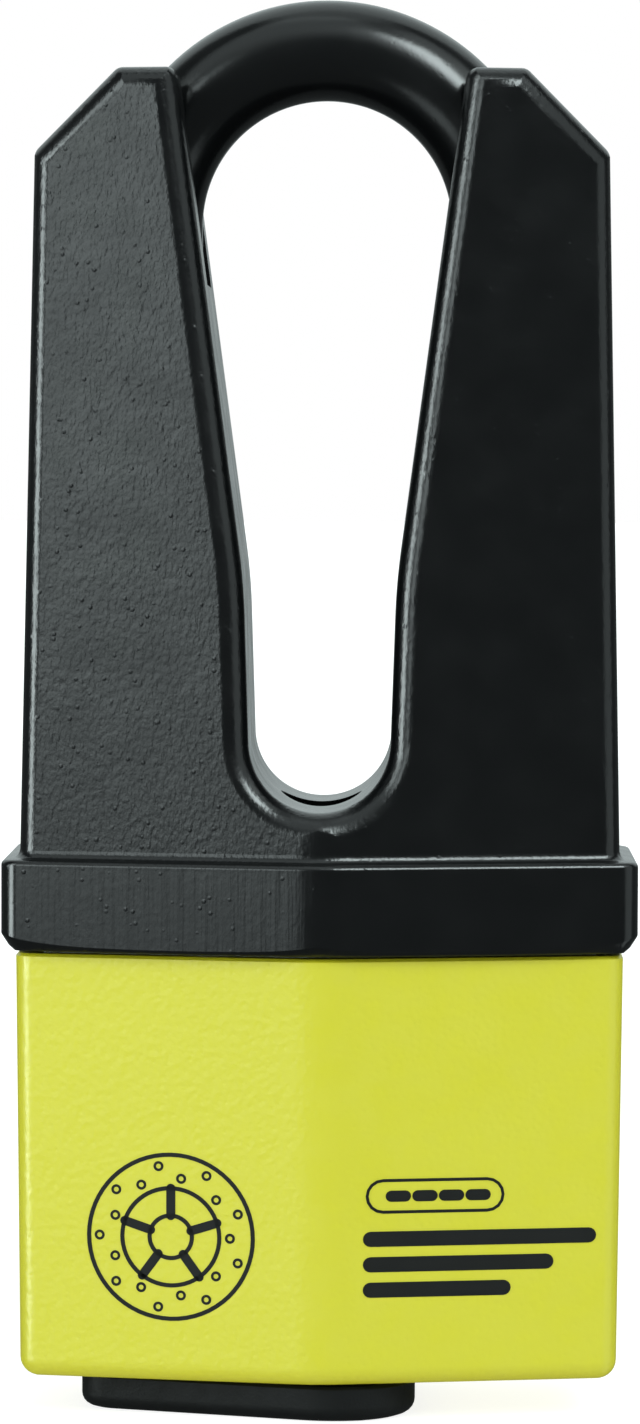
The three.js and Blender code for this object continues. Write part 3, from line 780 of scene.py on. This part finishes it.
# Each light is a soft-edged window in the room: azimuth range, its two soft edges, elevation range,
# its two soft edges, and brightness. Azimuth 0 is the camera's side and +90 is the +X side.
ROOM_LIGHTS = {
    "key": ((-68, -57), (9, 11), (-8, 8), (10, 10), 11.5),
    "key_upper": ((-60, -46), (8, 9), (18, 30), (9, 8), 5.0),
    "key_edge": ((-30, -23), (9, 5), (4, 22), (14, 10), 4.1),
    "top_right": ((26, 38), (13, 9), (30, 46), (10, 10), 15.0),
    "top_right_edge": ((42, 80), (8, 8), (38, 64), (10, 8), 1.0),
    "top_front": ((-60, 20), (15, 15), (50, 75), (30, 10), 0.8),
    "right": ((50, 84), (8, 8), (-20, 42), (10, 10), 0.75),
    "below_left": ((-46, -32), (8, 8), (-36, -22), (8, 8), 1.3),
    "below_right": ((72, 98), (10, 10), (-56, -36), (10, 10), 0.8),
    "overhead": ((-180, 180), (1, 1), (80, 90), (12, 1), 0.7),
    "behind_left": ((-180, -130), (1, 15), (22, 70), (22, 10), 0.95),
    "behind_right": ((130, 180), (15, 1), (22, 70), (22, 10), 0.95),
    "behind_low_left": ((-180, -170), (1, 9), (-8, 8), (8, 10), 0.46),
    "behind_low_right": ((170, 180), (9, 1), (-8, 8), (8, 10), 0.46),
}
ROOM_TINT = (0.88, 1.0, 1.0)
ROOM_FILL = 0.1  # brightness of the room between the windows
FLOOR_GLOW = 0.85


def room_light():
    """The world: white to the camera, and a dim room with soft-edged lights to everything else."""
    world = bpy.data.worlds.new("world")
    bpy.context.scene.world = world
    world.use_nodes = True
    nodes, links = world.node_tree.nodes, world.node_tree.links

    def calculate(operation, *values):
        made = nodes.new("ShaderNodeMath")
        made.operation = operation
        for socket, value in zip(made.inputs, values):
            if isinstance(value, bpy.types.NodeSocket):
                links.new(value, socket)
            else:
                socket.default_value = value
        return made.outputs[0]

    def ramp(value, start, end):
        made = nodes.new("ShaderNodeMapRange")
        made.interpolation_type = "SMOOTHSTEP"
        links.new(value, made.inputs["Value"])
        made.inputs["From Min"].default_value = start
        made.inputs["From Max"].default_value = end
        return made.outputs["Result"]

    axes = nodes.new("ShaderNodeSeparateXYZ")
    links.new(nodes.new("ShaderNodeTexCoord").outputs["Generated"], axes.inputs[0])
    x, y, z = axes.outputs
    azimuth = calculate("DEGREES", calculate("ARCTAN2", x, calculate("MULTIPLY", y, -1.0)))
    elevation = calculate("DEGREES", calculate("ARCSINE", z))
    total = ROOM_FILL
    for (left, right), (soft_left, soft_right), (low, high), (soft_low, soft_high), power in (
        ROOM_LIGHTS.values()
    ):
        across = calculate(
            "MULTIPLY", ramp(azimuth, left - soft_left, left), ramp(azimuth, right + soft_right, right)
        )
        up = calculate(
            "MULTIPLY", ramp(elevation, low - soft_low, low), ramp(elevation, high + soft_high, high)
        )
        total = calculate("ADD", total, calculate("MULTIPLY", calculate("MULTIPLY", across, up), power))

    backdrop, room = nodes["Background"], nodes.new("ShaderNodeBackground")
    backdrop.inputs["Color"].default_value = (1, 1, 1, 1)
    room.inputs["Color"].default_value = (*ROOM_TINT, 1)
    links.new(total, room.inputs["Strength"])
    path, mix = nodes.new("ShaderNodeLightPath"), nodes.new("ShaderNodeMixShader")
    links.new(path.outputs["Is Camera Ray"], mix.inputs["Fac"])
    links.new(room.outputs["Background"], mix.inputs[1])
    links.new(backdrop.outputs["Background"], mix.inputs[2])
    links.new(mix.outputs["Shader"], nodes["World Output"].inputs["Surface"])


def studio():
    reach = 6000.0
    corners = [(-reach, -reach, 0), (reach, -reach, 0), (reach, reach, 0), (-reach, reach, 0)]
    floor = new_piece("floor", corners, [(0, 1, 2, 3)])
    paint = bpy.data.materials.new("floor_paint")
    paint.use_nodes = True
    shader = paint.node_tree.nodes["Principled BSDF"]
    shader.inputs["Base Color"].default_value = (0.3, 0.3, 0.3, 1)
    shader.inputs["Roughness"].default_value = 0.9
    shader.inputs["Emission Color"].default_value = (1, 1, 1, 1)
    shader.inputs["Emission Strength"].default_value = FLOOR_GLOW
    floor.data.materials.append(paint)
    floor.visible_glossy = False
    room_light()
    scene = bpy.context.scene
    scene.view_settings.view_transform = "Standard"
    scene.view_settings.look = "None"


camera()
finish_cad_nodes()
fork_casting()
shackle()
housing_cover()
printed_marks()
keyhole_cover()
studio()
